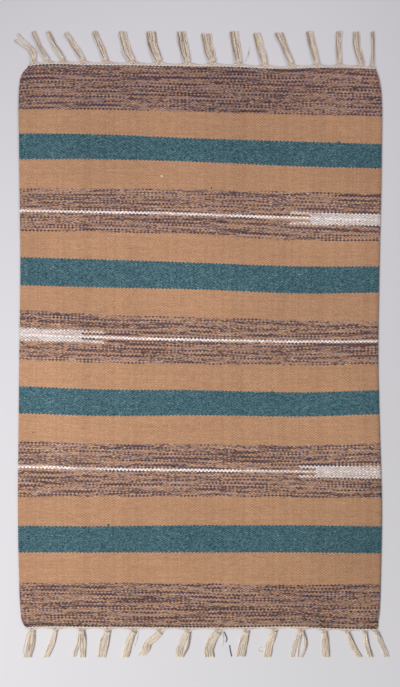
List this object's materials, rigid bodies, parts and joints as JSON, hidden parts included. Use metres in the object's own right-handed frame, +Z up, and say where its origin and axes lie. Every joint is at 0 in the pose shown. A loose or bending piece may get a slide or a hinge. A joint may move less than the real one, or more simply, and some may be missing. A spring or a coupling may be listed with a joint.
{
  "type": "kilim rug",
  "caption": "Flat-woven cotton rug with broad cross stripes, pale stepped lines, heading strips and knotted tassels at both ends, lying flat.",
  "frame": {"origin": "on the floor, under the middle of the rug's outer box with its fringe", "axes": "+X across the rug along its weft stripes, +Y along its warp towards the upper fringe, +Z up out of its face"},
  "size_m": [0.623, 1.0448, 0.0052],
  "materials": {
    "field_weave": "matt weft-faced cotton in tan, blue-green and flecked brown stripes",
    "heading_yarn": "matt off-white cotton",
    "fringe_yarn": "matt unbleached twisted cotton"
  },
  "bodies": {
    "root": {"field": "field_weave", "heading_bottom": "heading_yarn", "heading_top": "heading_yarn", "tassel_bottom_01": "fringe_yarn", "tassel_bottom_02": "fringe_yarn", "tassel_bottom_03": "fringe_yarn", "tassel_bottom_04": "fringe_yarn", "tassel_bottom_05": "fringe_yarn", "tassel_bottom_06": "fringe_yarn", "tassel_bottom_07": "fringe_yarn", "tassel_bottom_08": "fringe_yarn", "tassel_bottom_09": "fringe_yarn", "tassel_bottom_10": "fringe_yarn", "tassel_bottom_11": "fringe_yarn", "tassel_bottom_12": "fringe_yarn", "tassel_bottom_13": "fringe_yarn", "tassel_bottom_14": "fringe_yarn", "tassel_bottom_15": "fringe_yarn", "tassel_top_01": "fringe_yarn", "tassel_top_02": "fringe_yarn", "tassel_top_03": "fringe_yarn", "tassel_top_04": "fringe_yarn", "tassel_top_05": "fringe_yarn", "tassel_top_06": "fringe_yarn", "tassel_top_07": "fringe_yarn", "tassel_top_08": "fringe_yarn", "tassel_top_09": "fringe_yarn", "tassel_top_10": "fringe_yarn", "tassel_top_11": "fringe_yarn", "tassel_top_12": "fringe_yarn", "tassel_top_13": "fringe_yarn", "tassel_top_14": "fringe_yarn", "tassel_top_15": "fringe_yarn", "tassel_top_16": "fringe_yarn"}
  },
  "joints": []
}
